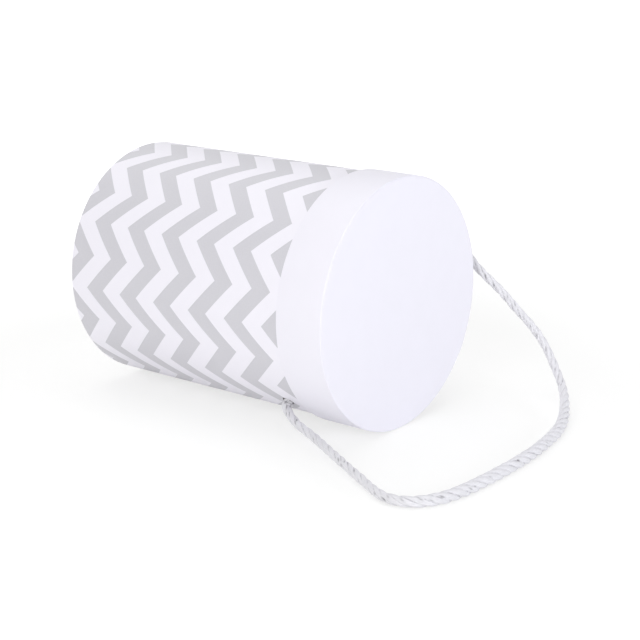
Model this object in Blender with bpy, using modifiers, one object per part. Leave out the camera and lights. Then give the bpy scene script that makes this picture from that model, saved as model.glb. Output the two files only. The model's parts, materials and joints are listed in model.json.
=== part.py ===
"""Round paper flower box with a lift-off lid and a rope handle, lying on its side.

The box is built upright in its own frame, with its base at zero and its axis along +Z. An
empty then lays it down on the floor, where it rests on the foot of the body and on the open
edge of the lid, with the lid towards +X. All sizes are in metres.
"""
import math

import bmesh
import bpy
import numpy as np
from mathutils import Matrix, Vector

# Driving sizes of the box
body_radius = 0.0700
box_height = 0.1885
lid_depth = 0.0306
paper = 0.0002
wall_board = 0.0015
base_board = 0.0020
lid_top_board = 0.0015
lid_band_board = 0.0006
glue_gap = 0.00015
lid_clearance = 0.00025
seat_gap = 0.0003
base_fit_gap = 0.0003
fold_radius = 0.0005
mouth_turn_in = 0.0120
foot_turn_under = 0.0120
lid_turn_in = 0.0200
lid_turn_over = 0.0110
base_cover_inset = 0.0040
top_paper_inset = 0.0006
lining_drop = 0.0040

# Driving sizes of the rope handle and its holes
rope_diameter = 0.0060
hole_diameter = 0.0070
hole_below_lid = 0.0125
hole_turn_deg = 42.0
stem_proud = 0.0010
rope_face_gap = 0.0003
rope_straight_end = 0.0020
knot_clearance = 0.0006
knot_gap = 0.0005
knot_tail = 0.0120
cut_overrun = 0.0100

# Counts of facets, rings and points
wall_facets = 64
hole_facets = 24
fold_steps = 3
rope_rings = 50
knot_rings = 50
rope_bevel_steps = 4
knot_bevel_steps = 2

# The overhand knot's shape, as shares of its mean ring radius
knot_lobe_share = 0.474
knot_height_share = 0.711
knot_part_share = 0.591
knot_spread_share = 0.193
knot_part_power = 4
knot_thickness_share = 0.885

# The rings of the rope crowd towards its two ends, where it bends most
ring_crowding_share = 0.6

# The loose rope's route from the near hole to the far one, in the laid box's frame
rope_route = [
    (0.0537, -0.0503, 0.0156),
    (0.0584, -0.0526, 0.0133),
    (0.0659, -0.0559, 0.0113),
    (0.0762, -0.0589, 0.0094),
    (0.0915, -0.0650, 0.0074),
    (0.1072, -0.0721, 0.0058),
    (0.1220, -0.0787, 0.0043),
    (0.1335, -0.0840, 0.0033),
    (0.1440, -0.0896, 0.0032),
    (0.1535, -0.0926, 0.0032),
    (0.1625, -0.0910, 0.0032),
    (0.1700, -0.0846, 0.0032),
    (0.1750, -0.0745, 0.0032),
    (0.1776, -0.0615, 0.0032),
    (0.1786, -0.0460, 0.0032),
    (0.1789, -0.0290, 0.0032),
    (0.1785, -0.0110, 0.0032),
    (0.1770, 0.0080, 0.0032),
    (0.1743, 0.0250, 0.0032),
    (0.1706, 0.0425, 0.0034),
    (0.1636, 0.0608, 0.0043),
    (0.1555, 0.0756, 0.0070),
    (0.1470, 0.0875, 0.0110),
    (0.1385, 0.0958, 0.0160),
    (0.1315, 0.1004, 0.0220),
    (0.1260, 0.1018, 0.0290),
    (0.1205, 0.1012, 0.0360),
    (0.1150, 0.0990, 0.0430),
    (0.1100, 0.0956, 0.0495),
    (0.1055, 0.0914, 0.0568),
    (0.1003, 0.0876, 0.0638),
    (0.0944, 0.0845, 0.0700),
    (0.0886, 0.0830, 0.0754),
    (0.0824, 0.0824, 0.0821),
    (0.0758, 0.0820, 0.0905),
    (0.0696, 0.0804, 0.1003),
    (0.0642, 0.0764, 0.1101),
    (0.0594, 0.0706, 0.1182),
    (0.0553, 0.0641, 0.1238),
    (0.0525, 0.0579, 0.1263),
]

# Sizes that follow
full_turn = 2.0 * math.pi
facet_half = math.pi / wall_facets
flat_share = math.cos(facet_half)
rope_radius = rope_diameter / 2.0

base_cover_top = paper
foot_paper_low = base_cover_top + glue_gap
foot_paper_high = foot_paper_low + paper
tube_foot = foot_paper_high + glue_gap
base_disc_top = tube_foot + base_board
base_lining_low = base_disc_top + glue_gap
base_lining_top = base_lining_low + paper

tube_outer = body_radius - paper - glue_gap
tube_inner = tube_outer - wall_board
turn_in_outer = tube_inner - glue_gap
turn_in_inner = turn_in_outer - paper
lining_outer = turn_in_inner - glue_gap
lining_inner = lining_outer - paper

top_paper_low = box_height - paper
turn_over_high = top_paper_low - glue_gap
turn_over_low = turn_over_high - paper
lid_board_top = turn_over_low - glue_gap
lid_board_low = lid_board_top - lid_top_board
lid_lining_high = lid_board_low - glue_gap
lid_lining_low = lid_lining_high - paper
mouth_height = lid_lining_low - seat_gap
tube_mouth = mouth_height - paper - glue_gap
lid_edge = box_height - lid_depth

lid_inside = body_radius + lid_clearance
lid_turn_in_outer = lid_inside + paper
band_inner = lid_turn_in_outer + glue_gap
band_outer = band_inner + lid_band_board
lid_paper_inner = band_outer + glue_gap
lid_radius = lid_paper_inner + paper

hole_height = lid_edge - hole_below_lid
stem_face = body_radius + stem_proud
rope_face = stem_face + rope_face_gap

# The laid pose: the foot and the lid's open edge both touch the floor
foot_contact = foot_paper_low + fold_radius
edge_contact = lid_edge + fold_radius
laid_tilt = math.atan((lid_radius - body_radius) * flat_share / (edge_contact - foot_contact))
laid_height = (body_radius * flat_share * math.cos(laid_tilt)
               - foot_contact * math.sin(laid_tilt))


def laid_reach(height, radius):
    """Half of the x extent's swing: where a ring's edge lies along the floor."""
    return height * math.cos(laid_tilt), radius * flat_share * math.sin(laid_tilt)


def laid_middle():
    """The distance along the floor from the base's centre to the middle of the whole box."""
    cover_x, cover_swing = laid_reach(0.0, body_radius - base_cover_inset)
    top_x, top_swing = laid_reach(box_height, lid_radius - top_paper_inset)
    return (cover_x - cover_swing + top_x + top_swing) / 2.0


def clear_scene():
    for item in list(bpy.data.objects):
        bpy.data.objects.remove(item, do_unlink=True)


def new_collection(name):
    group = bpy.data.collections.new(name)
    bpy.context.scene.collection.children.link(group)
    return group


def make_material(name, colour, roughness, metallic=0.0):
    material = bpy.data.materials.new(name)
    material.use_nodes = True
    shader = material.node_tree.nodes["Principled BSDF"]
    shader.inputs["Base Color"].default_value = (*colour, 1.0)
    shader.inputs["Roughness"].default_value = roughness
    shader.inputs["Metallic"].default_value = metallic
    material.diffuse_color = (*colour, 1.0)
    return material


def fold_corner(corner, before, after, radius):
    """Points of a quarter fold that rounds a right-angled corner of an outline."""
    corner, before, after = Vector(corner), Vector(before), Vector(after)
    come = (before - corner).normalized()
    go = (after - corner).normalized()
    centre = corner + (come + go) * radius
    points = []
    for step in range(fold_steps + 1):
        turn = math.pi / 2.0 * step / fold_steps
        points.append(centre - go * radius * math.cos(turn) - come * radius * math.sin(turn))
    return points


def outline(corners):
    """A closed outline from (radius, height, fold radius) corners, clockwise."""
    points = []
    count = len(corners)
    for index, (radius, height, fold) in enumerate(corners):
        before = corners[index - 1][:2]
        after = corners[(index + 1) % count][:2]
        if fold > 0.0:
            points += fold_corner((radius, height), before, after, fold)
        else:
            points.append(Vector((radius, height)))
    return points


def turned(name, corners, material, parent, group):
    """A ring turned about +Z from its clockwise outline, with a flat side facing +X."""
    mesh = bpy.data.meshes.new(name)
    points = outline(corners)
    ring = [(point.x, 0.0, point.y) for point in points]
    edges = [(index, (index + 1) % len(ring)) for index in range(len(ring))]
    mesh.from_pydata(ring, edges, [])
    piece = bpy.data.objects.new(name, mesh)
    group.objects.link(piece)
    screw = piece.modifiers.new("turn", "SCREW")
    screw.axis = "Z"
    screw.angle = full_turn
    screw.steps = wall_facets
    screw.render_steps = wall_facets
    screw.use_merge_vertices = True
    screw.merge_threshold = 0.000001
    screw.use_smooth_shade = True
    piece.rotation_euler.z = facet_half
    piece.parent = parent
    mesh.materials.append(material)
    return piece


def round_sheet(name, radius, low, high, material, parent, group):
    """A flat round sheet or board disc between two heights."""
    mesh = bpy.data.meshes.new(name)
    shape = bmesh.new()
    bmesh.ops.create_cone(shape, cap_ends=True, segments=wall_facets,
                          radius1=radius, radius2=radius, depth=high - low)
    bmesh.ops.translate(shape, verts=shape.verts, vec=(0.0, 0.0, (low + high) / 2.0))
    shape.to_mesh(mesh)
    shape.free()
    piece = bpy.data.objects.new(name, mesh)
    group.objects.link(piece)
    piece.rotation_euler.z = facet_half
    piece.parent = parent
    mesh.materials.append(material)
    return piece


def handle_axis(laid=False):
    """The direction from the box's axis out through the near hole."""
    turn = -math.radians(hole_turn_deg)
    upright = Vector((math.cos(turn), math.sin(turn), 0.0))
    return laid_matrix().to_3x3() @ upright if laid else upright


def laid_matrix():
    turn = Matrix.Rotation(math.pi / 2.0 - laid_tilt, 4, "Y")
    return Matrix.Translation((-laid_middle(), 0.0, laid_height)) @ turn


def hole_cutter(parent, group):
    """One round cutter through both sides of the wall, along the handle's axis."""
    mesh = bpy.data.meshes.new("rope_hole_cutter")
    shape = bmesh.new()
    bmesh.ops.create_cone(shape, cap_ends=True, segments=hole_facets,
                          radius1=hole_diameter / 2.0, radius2=hole_diameter / 2.0,
                          depth=2.0 * (body_radius + cut_overrun))
    along = Vector((0.0, 0.0, 1.0)).rotation_difference(handle_axis()).to_matrix()
    bmesh.ops.rotate(shape, verts=shape.verts, matrix=along)
    bmesh.ops.translate(shape, verts=shape.verts, vec=(0.0, 0.0, hole_height))
    shape.to_mesh(mesh)
    shape.free()
    cutter = bpy.data.objects.new("rope_hole_cutter", mesh)
    group.objects.link(cutter)
    cutter.parent = parent
    cutter.hide_render = True
    cutter.display_type = "WIRE"
    return cutter


def punch(piece, cutter):
    cut = piece.modifiers.new("rope_holes", "BOOLEAN")
    cut.operation = "DIFFERENCE"
    cut.object = cutter


def smooth_line(points):
    """A natural cubic spline through the points, as many short straight steps."""
    knots = np.array(points)
    lengths = np.linalg.norm(np.diff(knots, axis=0), axis=1)
    count = len(knots)
    system = np.eye(count)
    right = np.zeros((count, 3))
    slopes = np.diff(knots, axis=0) / lengths[:, None]
    for index in range(1, count - 1):
        left_length, right_length = lengths[index - 1], lengths[index]
        system[index, index - 1] = left_length
        system[index, index] = 2.0 * (left_length + right_length)
        system[index, index + 1] = right_length
        right[index] = 6.0 * (slopes[index] - slopes[index - 1])
    bends = np.linalg.solve(system, right)
    steps = 16
    line = []
    for index in range(count - 1):
        length = lengths[index]
        start_bend, end_bend = bends[index], bends[index + 1]
        for step in range(steps):
            run = length * step / steps
            lift = slopes[index] - length * (2.0 * start_bend + end_bend) / 6.0
            cubic = (end_bend - start_bend) / (6.0 * length)
            line.append(knots[index] + run * lift + run ** 2 * start_bend / 2.0
                        + run ** 3 * cubic)
    line.append(knots[-1])
    return np.array(line)


def spaced_points(line, count, crowding_share):
    """Points along a line, closer together towards both its ends."""
    travel = np.concatenate([[0.0], np.cumsum(np.linalg.norm(np.diff(line, axis=0), axis=1))])
    share = np.linspace(0.0, 1.0, count)
    share = share - crowding_share * np.sin(full_turn * share) / full_turn
    return np.array([[np.interp(at * travel[-1], travel, line[:, side]) for side in range(3)]
                     for at in share])


def rope_tube(name, points, bevel_steps, material, parent, group):
    """A round tube of the rope's thickness along the points, with closed ends."""
    curve = bpy.data.curves.new(name, "CURVE")
    curve.dimensions = "3D"
    curve.bevel_depth = rope_radius
    curve.bevel_resolution = bevel_steps
    curve.use_fill_caps = True
    spline = curve.splines.new("POLY")
    spline.points.add(len(points) - 1)
    for target, point in zip(spline.points, points):
        target.co = (*point, 1.0)
    piece = bpy.data.objects.new(name, curve)
    group.objects.link(piece)
    piece.parent = parent
    curve.materials.append(material)
    return piece


def knot_line():
    """The overhand knot: two rounds of a three-lobed ring, parted at its ends.

    The knot is scaled until the rope clears itself by the knot's gap. It comes back with
    its start at zero, its standing part running out along +X and its bulk towards -Z.
    """
    scale = (rope_diameter + knot_gap) / knot_thickness_share
    turns = np.linspace(0.0, full_turn, knot_rings)
    parting = (turns - math.pi) / math.pi
    spread = np.abs(parting) ** knot_part_power
    ring = 1.0 + knot_lobe_share * np.cos(3.0 * turns) + knot_spread_share * spread
    height = knot_height_share * np.sin(3.0 * turns) + knot_part_share * np.sign(parting) * spread
    line = scale * np.stack([ring * np.cos(2.0 * turns), ring * np.sin(2.0 * turns), height], 1)
    line = line - line[0]
    out = line[0] - line[1]
    out = out / np.linalg.norm(out)
    side = np.array([1.0, 0.0, 0.0]) - out * out[0]
    side = side / np.linalg.norm(side)
    return line @ np.stack([out, np.cross(side, out), side]).T


def least_gap(line):
    """The smallest clear space between runs of the rope that are not neighbours."""
    fine = spaced_points(line, 12 * knot_rings, 0.0)
    step = np.linalg.norm(fine[1] - fine[0])
    apart = np.linalg.norm(fine[:, None] - fine[None], axis=2)
    index = np.arange(len(fine))
    along = np.abs(index[:, None] - index[None]) * step
    return apart[along > 2.2 * rope_diameter].min() - rope_diameter


def knot_depth(knot):
    """How far from the box's axis the knot starts, so that it turns clear of the lining."""
    room = lining_inner * flat_share - rope_radius - knot_clearance
    off_axis = np.hypot(knot[:, 1], knot[:, 2])
    return (np.sqrt(room ** 2 - off_axis ** 2) - knot[:, 0]).min()


def knotted_end(name, turn, material, parent, group):
    """A rope end: through the wall's hole, then an overhand knot and a short tail inside."""
    knot = knot_line()
    depth = knot_depth(knot)
    tail_way = knot[-1] - knot[-2]
    tail_way = tail_way / np.linalg.norm(tail_way)
    tail = knot[-1] + tail_way * knot_tail
    stem = np.array([stem_face - depth, 0.0, 0.0])
    line = np.vstack([stem, stem / 2.0, knot, tail])
    print(name, "least gap to itself (mm):", round(1000.0 * least_gap(line), 3))
    line[:, 0] += depth
    piece = rope_tube(name, line, knot_bevel_steps, material, parent, group)
    piece.rotation_euler.z = turn
    return piece


def free_rope(material, parent, group):
    """The loose rope, from the near stem's face along the floor and up to the far one."""
    way = handle_axis(laid=True)
    centre = laid_matrix() @ Vector((0.0, 0.0, hole_height))
    near = [centre + way * reach for reach in (rope_face, rope_face + rope_straight_end)]
    far = [centre - way * reach for reach in (rope_face + rope_straight_end, rope_face)]
    middle = smooth_line([near[1], *rope_route, far[0]])
    rings = spaced_points(middle, rope_rings, ring_crowding_share)
    points = [near[0], *rings, far[1]]
    line = np.vstack([near[0], middle, far[1]])
    length = np.linalg.norm(np.diff(line, axis=0), axis=1).sum()
    print("free rope length (mm):", round(1000.0 * length, 1))
    back = parent_matrix(parent).inverted()
    local = [back @ Vector(point) for point in points]
    return rope_tube("handle_rope", local, rope_bevel_steps, material, parent, group)


def parent_matrix(empty):
    bpy.context.view_layer.update()
    return empty.matrix_world.copy()


def add_empty(name, parent, group, location=(0.0, 0.0, 0.0)):
    empty = bpy.data.objects.new(name, None)
    group.objects.link(empty)
    empty.parent = parent
    empty.location = location
    return empty


def body_wrap_corners():
    outer_fold, inner_fold = fold_radius, fold_radius - paper
    return [
        (turn_in_inner, mouth_height - mouth_turn_in, 0.0),
        (turn_in_inner, mouth_height, outer_fold),
        (body_radius, mouth_height, outer_fold),
        (body_radius, foot_paper_low, outer_fold),
        (body_radius - foot_turn_under, foot_paper_low, 0.0),
        (body_radius - foot_turn_under, foot_paper_high, 0.0),
        (body_radius - paper, foot_paper_high, inner_fold),
        (body_radius - paper, mouth_height - paper, inner_fold),
        (turn_in_outer, mouth_height - paper, inner_fold),
        (turn_in_outer, mouth_height - mouth_turn_in, 0.0),
    ]


def lid_wrap_corners():
    outer_fold, inner_fold = fold_radius, fold_radius - paper
    return [
        (lid_inside, lid_edge, outer_fold),
        (lid_inside, lid_edge + lid_turn_in, 0.0),
        (lid_turn_in_outer, lid_edge + lid_turn_in, 0.0),
        (lid_turn_in_outer, lid_edge + paper, inner_fold),
        (lid_paper_inner, lid_edge + paper, inner_fold),
        (lid_paper_inner, turn_over_low, inner_fold),
        (lid_radius - lid_turn_over, turn_over_low, 0.0),
        (lid_radius - lid_turn_over, turn_over_high, 0.0),
        (lid_radius, turn_over_high, outer_fold),
        (lid_radius, lid_edge, outer_fold),
    ]


def tube_corners(inner, outer, low, high):
    return [(inner, low, 0.0), (inner, high, 0.0), (outer, high, 0.0), (outer, low, 0.0)]


def build_body(laid, parts, cutters, colours):
    cutter = hole_cutter(laid, cutters)
    tube = turned("body_tube", tube_corners(tube_inner, tube_outer, tube_foot, tube_mouth),
                  colours["greyboard"], laid, parts)
    wrap = turned("body_wrap", body_wrap_corners(), colours["printed_paper"], laid, parts)
    lining_top = mouth_height - lining_drop
    lining = turned("body_lining",
                    tube_corners(lining_inner, lining_outer, base_lining_low, lining_top),
                    colours["lining_paper"], laid, parts)
    for piece in (tube, wrap, lining):
        punch(piece, cutter)
    round_sheet("base_disc", tube_inner - base_fit_gap, tube_foot, base_disc_top,
                colours["greyboard"], laid, parts)
    round_sheet("base_cover", body_radius - base_cover_inset, 0.0, base_cover_top,
                colours["white_paper"], laid, parts)
    round_sheet("base_lining", lining_inner - base_fit_gap, base_lining_low, base_lining_top,
                colours["lining_paper"], laid, parts)


def build_lid(slide, parts, colours):
    turned("lid_wrap", lid_wrap_corners(), colours["lid_paper"], slide, parts)
    band_foot = lid_edge + paper + glue_gap
    turned("lid_band_board", tube_corners(band_inner, band_outer, band_foot, lid_board_top),
           colours["greyboard"], slide, parts)
    board_radius = band_inner - glue_gap
    round_sheet("lid_disc", board_radius, lid_board_low, lid_board_top,
                colours["greyboard"], slide, parts)
    round_sheet("lid_top_paper", lid_radius - top_paper_inset, top_paper_low, box_height,
                colours["lid_paper"], slide, parts)
    round_sheet("lid_lining", board_radius, lid_lining_low, lid_lining_high,
                colours["lining_paper"], slide, parts)


def build_handle(pivot, parts, colours):
    near_turn = -math.radians(hole_turn_deg)
    knotted_end("rope_knot_near", near_turn, colours["cotton_rope"], pivot, parts)
    knotted_end("rope_knot_far", near_turn + math.pi, colours["cotton_rope"], pivot, parts)
    free_rope(colours["cotton_rope"], pivot, parts)


def build():
    clear_scene()
    parts = new_collection("round_flower_box")
    cutters = new_collection("cutters")
    colours = {
        "printed_paper": make_material("printed_paper", (0.76, 0.75, 0.80), 0.55),
        "white_paper": make_material("white_paper", (0.86, 0.86, 0.90), 0.60),
        "lid_paper": make_material("lid_paper", (0.88, 0.88, 0.95), 0.55),
        "lining_paper": make_material("lining_paper", (0.84, 0.84, 0.86), 0.70),
        "greyboard": make_material("greyboard", (0.38, 0.36, 0.33), 0.90),
        "cotton_rope": make_material("cotton_rope", (0.80, 0.80, 0.83), 0.85),
    }
    laid = add_empty("laid_box", None, parts)
    laid.matrix_world = laid_matrix()
    slide = add_empty("lid_slide", laid, parts)
    pivot = add_empty("handle_pivot", laid, parts, (0.0, 0.0, hole_height))
    build_body(laid, parts, cutters, colours)
    build_lid(slide, parts, colours)
    build_handle(pivot, parts, colours)


build()
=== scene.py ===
"""The looks of the round flower box: printed paper, plain lid, twisted rope and studio light."""
import json
import math

import bmesh
import bpy
import numpy as np
from mathutils import Matrix, Vector


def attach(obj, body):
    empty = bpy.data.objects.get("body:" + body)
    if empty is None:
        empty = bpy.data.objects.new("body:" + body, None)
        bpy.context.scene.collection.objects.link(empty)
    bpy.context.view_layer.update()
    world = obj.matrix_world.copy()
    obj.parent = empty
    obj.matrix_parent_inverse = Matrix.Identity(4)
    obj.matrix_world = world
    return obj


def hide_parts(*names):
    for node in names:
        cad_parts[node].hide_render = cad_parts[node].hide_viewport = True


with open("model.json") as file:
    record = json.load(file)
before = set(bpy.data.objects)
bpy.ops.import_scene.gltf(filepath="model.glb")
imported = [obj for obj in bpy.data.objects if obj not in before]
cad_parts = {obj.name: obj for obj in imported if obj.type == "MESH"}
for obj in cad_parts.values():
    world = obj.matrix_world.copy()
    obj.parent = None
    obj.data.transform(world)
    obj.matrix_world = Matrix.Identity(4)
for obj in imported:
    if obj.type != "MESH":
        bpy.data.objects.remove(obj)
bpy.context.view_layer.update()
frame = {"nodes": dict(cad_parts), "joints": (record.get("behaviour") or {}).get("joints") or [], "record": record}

# What the record says about the box: its base, its axis and the line through its two holes
mounts = {mount["name"]: mount for mount in frame["record"]["mounts"]}
joints = {joint["name"]: joint for joint in frame["joints"]}
base_centre = Vector(mounts["standing_base"]["pos_m"])
box_axis = Vector(joints["lid_lift"]["axis"]).normalized()
hole_line = Vector(joints["handle_swing"]["axis"]).normalized()
hole_centre = Vector(joints["handle_swing"]["pos_m"])
box_side = Vector((0.0, 1.0, 0.0))
box_down = box_side.cross(box_axis)
full_turn = 2.0 * math.pi

# The box's own upright frame: +Z along its axis from the base, +X towards the floor
upright = Matrix((
    (box_down.x, box_side.x, box_axis.x, base_centre.x),
    (box_down.y, box_side.y, box_axis.y, base_centre.y),
    (box_down.z, box_side.z, box_axis.z, base_centre.z),
    (0.0, 0.0, 0.0, 1.0),
))

# The papers: their thickness, folds, turned-in strips and laps, in metres
paper = 0.0002
fold_radius = 0.0005
foot_turn_under = 0.0120
mouth_turn_in = 0.0120
lid_turn_in = 0.0200
lid_turn_over = 0.0110
wall_depth = 0.0040
seam_overlap = 0.0080
lap_lift = 1.15 * paper
hole_radius = 0.0035
hole_cutter_length = 0.16

# The round sheets: their cut edge, and how their rim is pressed on to the paper beside them
sheet_edge = 0.00007
pressed_down = 0.00014
pressed_width = 0.0006
pressed_steps = 4

# How finely the papers are built, and where their baking maps keep clear
fine_facets = 288
lap_facets = 8
fold_steps = 5
hole_facets = 48
sharp_angle = math.radians(40.0)
map_margin = 0.01
map_span = 0.98
glued_side_share = 0.05
sheet_end_place = 0.002
sheet_end_width = 0.005
rope_end_place = 0.004
rope_end_radius = 0.003
rope_end_apart = 0.988

# Where the papers' ends meet, in degrees round the box from its lowest line
print_seam_deg = -80.0
lid_seam_deg = -60.0
lining_seam_deg = 30.0

# The chevron print: along the wall from the base in metres, round it in degrees,
# and its grey share, ragged edge and soft edge as shares of the pitch
print_pitch = 0.02668
print_rise = 0.01911
print_start = -0.01383
print_peak_deg = 167.3
print_half_deg = 16.03
print_grey_share = 0.486
print_ragged = 0.004
print_soft = 0.004
turned_in_from = 0.0012

# Colours of the papers, the board and the rope
print_white = (0.875, 0.858, 0.925)
print_dark_grey = (0.600, 0.592, 0.633)
print_light_grey = (0.627, 0.619, 0.661)
lid_white = (0.866, 0.852, 0.924)
base_white = (0.86, 0.86, 0.90)
lining_white = (0.88, 0.88, 0.90)
board_dark = (0.28, 0.265, 0.24)
board_light = (0.44, 0.42, 0.385)
board_cloud = (0.34, 0.325, 0.30)
rope_dull = (0.735, 0.73, 0.762)
rope_white = (0.84, 0.833, 0.866)
rope_patch = (0.66, 0.654, 0.685)
# Painted shade on the rope: between the yarns, in the valleys between the strands and in the partings
yarn_gap_painted_shade = (0.47, 0.465, 0.50)
strand_gap_painted_shade = (0.36, 0.355, 0.38)
parting_painted_shade = (0.09, 0.085, 0.095)
print_plain = (0.87, 0.86, 0.91)
board_plain = (0.36, 0.34, 0.31)
rope_plain = (0.76, 0.755, 0.79)
full_white = (1.0, 1.0, 1.0, 1.0)

# How rough each material is, from 0 to 1
paper_rough = 0.5
lining_rough = 0.7
board_rough = 0.9
rope_rough = 0.85

# How fine the materials' noises are, with features about 1 / scale metres across
paper_fibre_scale = 2600.0
paper_cloud_scale = 90.0
ink_scale = 1500.0
ragged_scale = 900.0
fleck_scale = 1400.0
board_cloud_scale = 160.0
rope_patch_scale = 330.0

# How deep their reliefs are in metres, and how much darker the papers' fibres are
paper_relief = 0.00003
lining_relief = 0.00005
board_relief = 0.00006
rope_relief = 0.00010
fibre_tone = 0.972

# The camera: its lens in millimetres, its place and the way it looks
camera_lens = 92.99
camera_sensor = 36.0
camera_place = (0.60484, -0.70991, 0.32326)
camera_look = (-0.59896, 0.74816, -0.28550)

# The floor: its reach each way in metres, what it throws back, and how white the camera sees
# it between two distances from its middle
floor_reach = 6.0
floor_colour = (0.96, 0.96, 0.95, 1.0)
floor_shade = (0.355, 0.355, 0.355, 1.0)
floor_seen = (0.999, 1.0, 0.994, 1.0)
floor_glow = 0.675
glow_near = 0.20
glow_far = 0.75

# The light: how strong the white surroundings are, where the lamps aim, and each lamp's
# name, place, size, watts and colour
world_power = 0.35
lamp_aim = (0.0, 0.0, 0.07)
lamps = [
    ("front_left", (-0.9, -1.2, 0.9), (1.2, 1.2), 1.0, (1.0, 1.0, 1.0)),
    ("front_low", (0.4, -1.5, 0.22), (1.8, 0.36), 4.8, (1.0, 1.0, 1.0)),
    ("camera_side", (0.45, -1.3, 0.75), (0.7, 0.7), 5.8, (1.0, 1.0, 1.0)),
    ("lid_side", (1.6, 0.2, 0.35), (0.8, 0.5), 9.2, (0.92, 0.94, 1.0)),
    ("top", (-0.2, 0.1, 1.6), (1.4, 1.4), 9.6, (1.0, 1.0, 1.0)),
    ("left_back", (-1.2, 0.5, 1.1), (1.0, 1.0), 2.5, (1.0, 1.0, 1.0)),
]

# The rope: how far from the box's axis it comes out, its thickness from hole to hole and in
# the knots, and one full turn of its strands, all in metres
rope_exit = 0.0713
rope_face = 0.0710
rope_straight_end = 0.0020
rope_size = 0.0060
rope_thin = 0.0050
rope_thick = 0.0068
rope_in_knot = 0.0056
rope_lay = 0.0290

# Where along the free rope, as shares of its length, it loosens and draws in again
loose_from = 0.20
loose_to = 0.66
loose_ramp = 0.12
blur_rings = 41

# Its strands, as shares of its thickness, and their yarns, with the twist in radians a metre
strands = 4
strand_out_share = 0.232
strand_size_share = 0.268
yarns = 9
yarn_twist = 430.0
yarn_groove = 0.07
yarn_shift = 1.3
fibre_shift = 10.0

# How uneven the strands are: each amount, its wave in metres and its shift from strand to strand
slow_turn_drift = (0.10, 0.0083, 1.9)
quick_turn_drift = (0.05, 0.0031, 0.7)
centre_drift = (0.04, 0.0071, 2.3)
size_drift = (0.03, 0.0053, 3.1)

# How finely it is built, and how many of its rings lie in one row of its baking map
rope_step = 0.0005
rope_sides = 96
rings_in_row = 170

# The free rope's way from the near hole over the floor to the far hole
rope_route = [
    (0.0537, -0.0503, 0.0156),
    (0.0584, -0.0526, 0.0133),
    (0.0659, -0.0559, 0.0113),
    (0.0762, -0.0589, 0.0094),
    (0.0915, -0.0650, 0.0074),
    (0.1072, -0.0721, 0.0058),
    (0.1220, -0.0787, 0.0043),
    (0.1335, -0.0840, 0.0033),
    (0.1440, -0.0896, 0.0032),
    (0.1535, -0.0926, 0.0032),
    (0.1625, -0.0910, 0.0032),
    (0.1700, -0.0846, 0.0032),
    (0.1750, -0.0745, 0.0032),
    (0.1776, -0.0615, 0.0032),
    (0.1786, -0.0460, 0.0032),
    (0.1789, -0.0290, 0.0032),
    (0.1785, -0.0110, 0.0032),
    (0.1770, 0.0080, 0.0032),
    (0.1743, 0.0250, 0.0032),
    (0.1706, 0.0425, 0.0034),
    (0.1636, 0.0608, 0.0043),
    (0.1555, 0.0756, 0.0070),
    (0.1470, 0.0875, 0.0110),
    (0.1385, 0.0958, 0.0160),
    (0.1315, 0.1004, 0.0220),
    (0.1260, 0.1018, 0.0290),
    (0.1205, 0.1012, 0.0360),
    (0.1150, 0.0990, 0.0430),
    (0.1100, 0.0956, 0.0495),
    (0.1055, 0.0914, 0.0568),
    (0.1003, 0.0876, 0.0638),
    (0.0944, 0.0845, 0.0700),
    (0.0886, 0.0830, 0.0754),
    (0.0824, 0.0824, 0.0821),
    (0.0758, 0.0820, 0.0905),
    (0.0696, 0.0804, 0.1003),
    (0.0642, 0.0764, 0.1101),
    (0.0594, 0.0706, 0.1182),
    (0.0553, 0.0641, 0.1238),
    (0.0525, 0.0579, 0.1263),
]

# Small partings between the strands, dented and painted dark as shade: the place on the rope, its half length and
# how dark its painted shade is
shaded_rope_partings = [
    (0.0520, -0.0500, 0.0200, 0.0012, 0.9),
    (0.0540, -0.0512, 0.0178, 0.0018, 0.9),
    (0.0558, -0.0543, 0.0147, 0.0008, 0.9),
    (0.0649, -0.0557, 0.0139, 0.0010, 0.9),
    (0.0831, -0.0636, 0.0089, 0.0012, 0.7),
    (0.0962, -0.0675, 0.0091, 0.0009, 0.3),
    (0.1085, -0.0744, 0.0068, 0.0012, 0.7),
    (0.1118, -0.0767, 0.0054, 0.0010, 0.6),
    (0.1132, -0.0754, 0.0072, 0.0010, 0.6),
    (0.1226, -0.0797, 0.0063, 0.0010, 0.6),
    (0.1295, -0.0847, 0.0034, 0.0012, 0.8),
    (0.1458, -0.0928, 0.0034, 0.0010, 0.5),
    (0.1531, -0.0952, 0.0030, 0.0014, 0.9),
    (0.1550, -0.0945, 0.0050, 0.0009, 0.4),
    (0.1628, -0.0936, 0.0051, 0.0010, 0.5),
    (0.1703, -0.0876, 0.0055, 0.0010, 0.6),
    (0.1740, -0.0835, 0.0042, 0.0010, 0.5),
    (0.1762, -0.0775, 0.0049, 0.0012, 0.8),
    (0.1800, -0.0588, 0.0040, 0.0012, 0.6),
    (0.1798, -0.0508, 0.0048, 0.0011, 0.5),
    (0.1802, -0.0412, 0.0046, 0.0010, 0.4),
    (0.1797, -0.0129, 0.0048, 0.0005, 2.0),
    (0.1766, 0.0193, 0.0041, 0.0010, 0.4),
    (0.1720, 0.0412, 0.0044, 0.0010, 0.4),
    (0.1658, 0.0611, 0.0051, 0.0010, 0.3),
    (0.1441, 0.0878, 0.0131, 0.0011, 0.5),
    (0.1450, 0.0907, 0.0149, 0.0010, 0.4),
    (0.1277, 0.0986, 0.0279, 0.0011, 0.4),
    (0.1215, 0.0981, 0.0354, 0.0012, 0.6),
    (0.1179, 0.0969, 0.0410, 0.0012, 0.6),
    (0.1143, 0.0950, 0.0459, 0.0011, 0.5),
    (0.1103, 0.0923, 0.0543, 0.0011, 0.7),
    (0.1068, 0.0886, 0.0590, 0.0010, 0.5),
    (0.0997, 0.0836, 0.0655, 0.0012, 0.8),
    (0.0955, 0.0816, 0.0711, 0.0012, 0.9),
]
parting_half_width = 0.00048
parting_depth = 0.0007

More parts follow.
